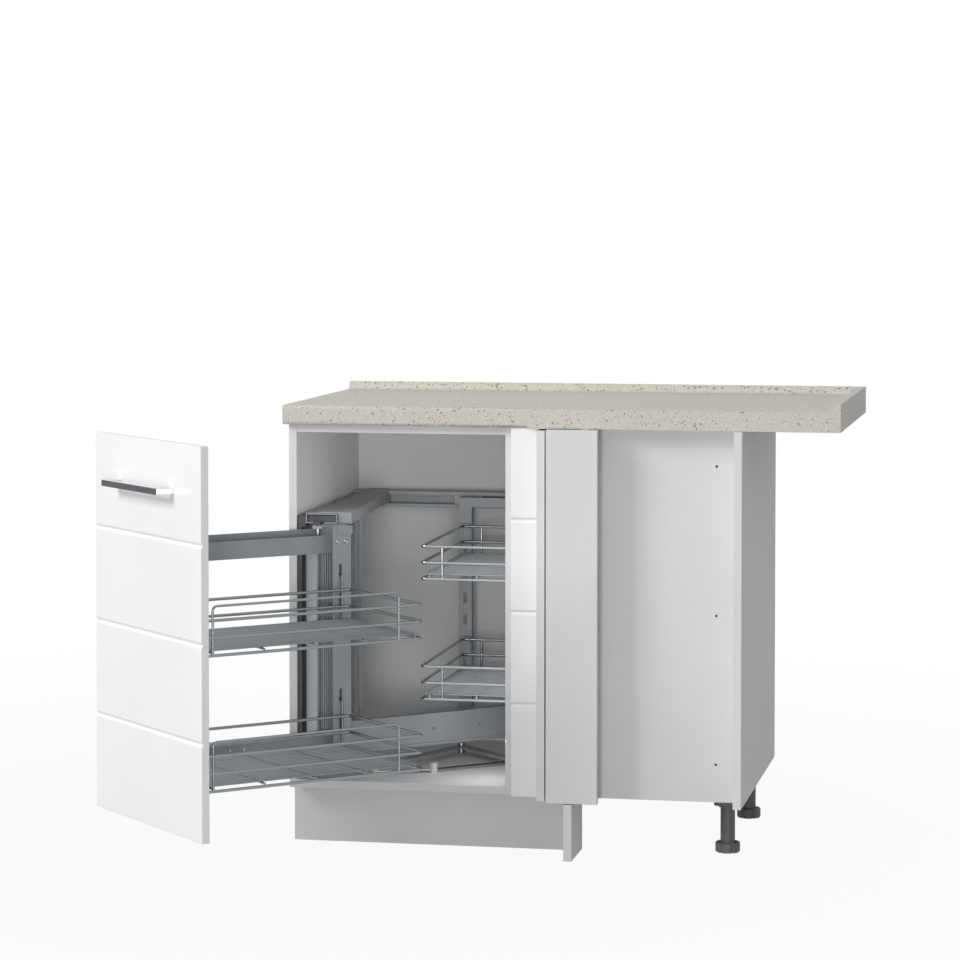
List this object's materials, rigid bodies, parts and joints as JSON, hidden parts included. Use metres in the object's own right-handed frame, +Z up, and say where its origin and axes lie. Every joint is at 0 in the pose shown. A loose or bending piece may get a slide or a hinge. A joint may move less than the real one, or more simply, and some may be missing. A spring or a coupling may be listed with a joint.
{
  "type": "corner base cabinet",
  "caption": "White blind-corner kitchen base cabinet with speckled L-shaped worktop, plinth, levelling feet and a swing-out wire basket corner fitting behind a grooved door.",
  "frame": {"origin": "centre of the front left levelling foot's underside, on the floor", "axes": "+X along the front to the right, +Y into the wall, +Z up"},
  "size_m": [1.3966, 1.1508, 0.886],
  "materials": {
    "white_board": "white melamine",
    "back_board": "white lacquered fibreboard",
    "front_white": "white satin foil",
    "worktop_laminate": "speckled laminate",
    "grey_steel": "grey powder coat",
    "column_aluminium": "anodised",
    "zinc_steel": "zinc plated",
    "chrome_wire": "chrome plated wire",
    "handle_chrome": "polished",
    "handle_dark": "dark satin",
    "leg_plastic": "moulded",
    "nylon_grey": "moulded nylon"
  },
  "bodies": {
    "cabinet": {"left_side_panel": "white_board", "right_side_panel": "white_board", "bottom_panel": "white_board", "top_front_rail": "white_board", "top_rear_rail": "white_board", "blind_panel": "white_board", "filler_return": "white_board", "corner_cover_panel": "white_board", "cover_batten": "white_board", "plinth_board": "white_board", "plinth_return": "white_board", "back_panel": "back_board", "filler_strip": "front_white", "worktop": "worktop_laminate", "plinth_clip": "leg_plastic", "plinth_angle": "zinc_steel", "leg_front_left": "leg_plastic", "leg_front_right": "leg_plastic", "leg_rear_left": "leg_plastic", "leg_rear_right": "leg_plastic", "upper_rail": "grey_steel", "upper_carriage": "zinc_steel", "upper_pivot_pin": "zinc_steel", "rail_brackets": "grey_steel", "lower_rail": "grey_steel", "lower_carriage": "zinc_steel", "lower_pivot_pin": "zinc_steel", "top_side_bar": "grey_steel", "rear_rail": "grey_steel", "rear_rail_blocks": "grey_steel", "lever_pin": "zinc_steel", "guide_rod": "chrome_wire", "rod_bushes": "nylon_grey"},
    "front_unit": {"door_front": "front_white", "handle_bow": "handle_chrome", "handle_inlay": "handle_dark", "upper_arm": "grey_steel", "lower_arm": "grey_steel", "pivot_column": "column_aluminium", "basket_post": "grey_steel", "swing_beam": "grey_steel", "front_basket_upper": "chrome_wire", "front_basket_lower": "chrome_wire", "front_grille_upper": "chrome_wire", "front_grille_lower": "chrome_wire", "front_basket_hooks": "grey_steel", "door_basket_clips": "nylon_grey"},
    "rear_unit": {"rear_hanger": "grey_steel", "rear_shoes": "nylon_grey", "rear_basket_upper": "chrome_wire", "rear_basket_lower": "chrome_wire", "rear_grille_upper": "chrome_wire", "rear_grille_lower": "chrome_wire", "rear_basket_hooks": "grey_steel"},
    "lever": {"drive_lever": "grey_steel"},
    "foot_front_left": {"foot_front_left": "leg_plastic"},
    "foot_front_right": {"foot_front_right": "leg_plastic"},
    "foot_rear_left": {"foot_rear_left": "leg_plastic"},
    "foot_rear_right": {"foot_rear_right": "leg_plastic"}
  },
  "joints": [
    {"name": "front_swing", "type": "hinge", "parent": "cabinet", "child": "front_unit", "pos_m": [0.016, -0.093, 0], "axis": [0, 0, 1], "range_deg": [-31.2, 46.8]},
    {"name": "rear_slide", "type": "slide", "parent": "cabinet", "child": "rear_unit", "axis": [1, 0, 0], "range_m": [-0.128, 0.192]},
    {"name": "lever_turn", "type": "hinge", "parent": "cabinet", "child": "lever", "pos_m": [0.229, 0.275, 0], "axis": [0, 0, 1], "range_deg": [-9.6, 14.4]},
    {"name": "foot_front_left_turn", "type": "hinge", "parent": "cabinet", "child": "foot_front_left", "pos_m": [0, 0, 0], "axis": [0, 0, 1], "continuous": true},
    {"name": "foot_front_right_turn", "type": "hinge", "parent": "cabinet", "child": "foot_front_right", "pos_m": [0.816, 0, 0], "axis": [0, 0, 1], "continuous": true},
    {"name": "foot_rear_left_turn", "type": "hinge", "parent": "cabinet", "child": "foot_rear_left", "pos_m": [0, 0.363, 0], "axis": [0, 0, 1], "continuous": true},
    {"name": "foot_rear_right_turn", "type": "hinge", "parent": "cabinet", "child": "foot_rear_right", "pos_m": [0.816, 0.363, 0], "axis": [0, 0, 1], "continuous": true}
  ],
  "couplings": [
    {"joint": "rear_slide", "follows": "front_swing", "m_per_rad": 0.2326},
    {"joint": "lever_turn", "follows": "front_swing", "ratio": 0.3}
  ]
}
